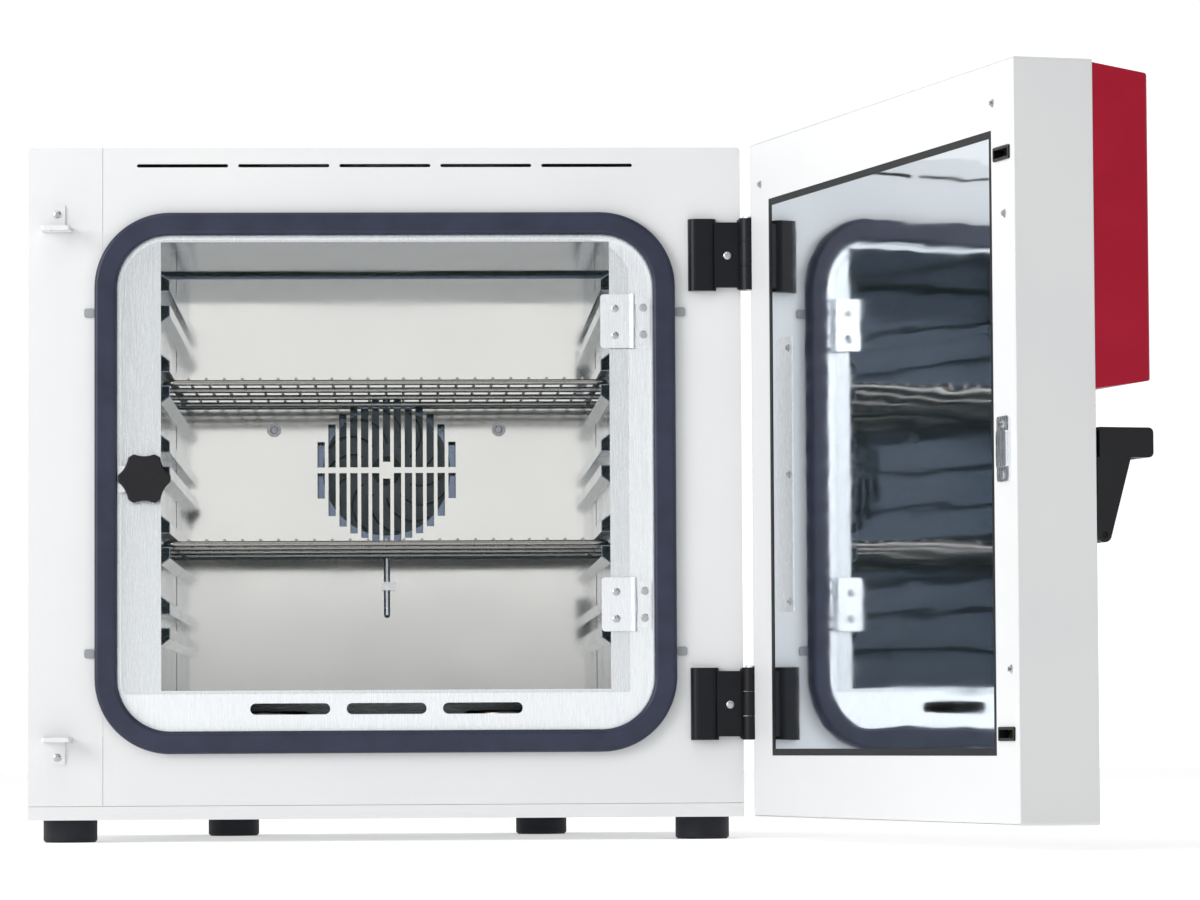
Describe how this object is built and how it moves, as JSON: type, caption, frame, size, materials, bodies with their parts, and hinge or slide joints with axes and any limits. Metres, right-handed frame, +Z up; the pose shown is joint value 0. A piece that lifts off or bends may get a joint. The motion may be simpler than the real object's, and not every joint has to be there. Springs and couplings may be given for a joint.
{
  "type": "microbiological incubator",
  "caption": "Bench incubator with an insulated outer door swung open, an inner glass door, a polished fan-stirred chamber with wire racks, a rubber gasket and a lever latch.",
  "frame": {"origin": "on the bench, under the middle of the cabinet's front face", "axes": "+X to the hinge side (right, seen from the front), +Y from the front to the back, +Z up"},
  "size_m": [0.9164, 1.0802, 0.617],
  "materials": {
    "painted_sheet": "satin",
    "polished_steel": "polished",
    "brushed_steel": "satin",
    "jacket_sheet": "satin",
    "insulation_wool": "matte",
    "gasket_rubber": "satin",
    "foot_rubber": "matte",
    "black_metal": "satin",
    "black_plastic": "satin",
    "clip_plastic": "satin",
    "red_plastic": "satin",
    "display_plastic": "gloss",
    "key_plastic": "satin",
    "pane_glass": "gloss",
    "screw_steel": "satin",
    "fan_plastic": "satin",
    "motor_metal": "satin",
    "board_parts": "matte",
    "heater_metal": "satin",
    "spacer_plastic": "matte"
  },
  "bodies": {
    "cabinet": {"outer_casing": "painted_sheet", "base_panel": "painted_sheet", "rear_panel": "painted_sheet", "front_fascia": "painted_sheet", "left_column_cover": "painted_sheet", "latch_strikers": "painted_sheet", "inner_chamber": "polished_steel", "rear_baffle": "polished_steel", "inner_frame": "brushed_steel", "glass_hinge_plates": "brushed_steel", "glass_catch": "brushed_steel", "exhaust_duct": "brushed_steel", "hinge_pins": "brushed_steel", "temperature_probe": "brushed_steel", "jacket_shell": "jacket_sheet", "electronics_tray": "jacket_sheet", "insulation": "insulation_wool", "door_gasket": "gasket_rubber", "feet": "foot_rubber", "hinge_bracket_upper": "black_metal", "hinge_bracket_lower": "black_metal", "power_inlet": "black_plastic", "gasket_clips": "clip_plastic", "cabinet_screws": "screw_steel", "rear_screws": "screw_steel", "baffle_screws": "screw_steel", "glass_hinge_pins": "screw_steel", "fan_motor": "motor_metal", "control_board": "board_parts", "heater_elements": "heater_metal", "wall_spacers": "spacer_plastic"},
    "outer_door": {"door_shell": "painted_sheet", "door_inner_frame": "painted_sheet", "door_mirror_panel": "polished_steel", "door_panel_seal": "gasket_rubber", "door_insulation": "insulation_wool", "door_cover_strip": "brushed_steel", "door_screws": "screw_steel", "hinge_leaf_upper": "black_metal", "hinge_leaf_lower": "black_metal", "latch_guides": "black_plastic", "handle_plate": "brushed_steel", "handle_mount": "black_plastic", "handle_pin": "black_metal", "control_housing": "red_plastic", "display_window": "display_plastic"},
    "glass_door": {"glass_pane": "pane_glass", "glass_hinge_leaves": "brushed_steel", "glass_hinge_screws": "screw_steel"},
    "shelf_upper": {"shelf_upper": "polished_steel"},
    "shelf_lower": {"shelf_lower": "polished_steel"},
    "fan": {"fan_impeller": "fan_plastic"},
    "glass_knob": {"glass_knob": "black_plastic"},
    "latch_rod": {"latch_rod": "brushed_steel"},
    "handle": {"door_handle": "black_plastic"},
    "button_down": {"button_down": "key_plastic"},
    "button_set": {"button_set": "key_plastic"},
    "button_up": {"button_up": "key_plastic"},
    "power_rocker": {"power_rocker": "black_plastic"},
    "thermostat_dial": {"thermostat_dial": "black_plastic"}
  },
  "joints": [
    {"name": "outer_door_hinge", "type": "hinge", "parent": "cabinet", "child": "outer_door", "pos_m": [0.3235, -0.0095, 0.32], "axis": [0, 0, 1], "range_deg": [-105, 65]},
    {"name": "glass_door_hinge", "type": "hinge", "parent": "cabinet", "child": "glass_door", "pos_m": [0.2208, 0.0062, 0.335], "axis": [0, 0, 1], "range_deg": [0, 100]},
    {"name": "glass_knob_turn", "type": "hinge", "parent": "glass_door", "child": "glass_knob", "pos_m": [-0.214, 0.0047, 0.322], "axis": [0, 1, 0], "range_deg": [0, 90]},
    {"name": "handle_pivot", "type": "hinge", "parent": "outer_door", "child": "handle", "pos_m": [0.54229, -0.54668, 0.245], "axis": [-0.2588, 0.9659, 0], "range_deg": [0, 18]},
    {"name": "latch_rod_lift", "type": "slide", "parent": "outer_door", "child": "latch_rod", "axis": [0, 0, 1], "range_m": [0, 0.0065]},
    {"name": "shelf_upper_slide", "type": "slide", "parent": "cabinet", "child": "shelf_upper", "axis": [0, -1, 0], "range_m": [0, 0.008]},
    {"name": "shelf_lower_slide", "type": "slide", "parent": "cabinet", "child": "shelf_lower", "axis": [0, -1, 0], "range_m": [0, 0.008]},
    {"name": "fan_spin", "type": "hinge", "parent": "cabinet", "child": "fan", "pos_m": [0, 0.36, 0.347], "axis": [0, 1, 0], "continuous": true},
    {"name": "rocker_tilt", "type": "hinge", "parent": "outer_door", "child": "power_rocker", "pos_m": [0.57612, -0.53037, 0.482], "axis": [-0.2588, 0.9659, 0], "range_deg": [0, 16]},
    {"name": "thermostat_turn", "type": "hinge", "parent": "outer_door", "child": "thermostat_dial", "pos_m": [0.58075, -0.52912, 0.432], "axis": [-0.9659, -0.2588, 0], "range_deg": [0, 270]},
    {"name": "button_down_press", "type": "slide", "parent": "outer_door", "child": "button_down", "axis": [-0.9659, -0.2588, 0], "range_m": [0, 0.0015], "stiffness_N_per_m": 300, "springref_m": -0.001},
    {"name": "button_set_press", "type": "slide", "parent": "outer_door", "child": "button_set", "axis": [-0.9659, -0.2588, 0], "range_m": [0, 0.0015], "stiffness_N_per_m": 300, "springref_m": -0.001},
    {"name": "button_up_press", "type": "slide", "parent": "outer_door", "child": "button_up", "axis": [-0.9659, -0.2588, 0], "range_m": [0, 0.0015], "stiffness_N_per_m": 300, "springref_m": -0.001}
  ],
  "couplings": [
    {"joint": "latch_rod_lift", "follows": "handle_pivot", "m_per_rad": 0.02}
  ]
}
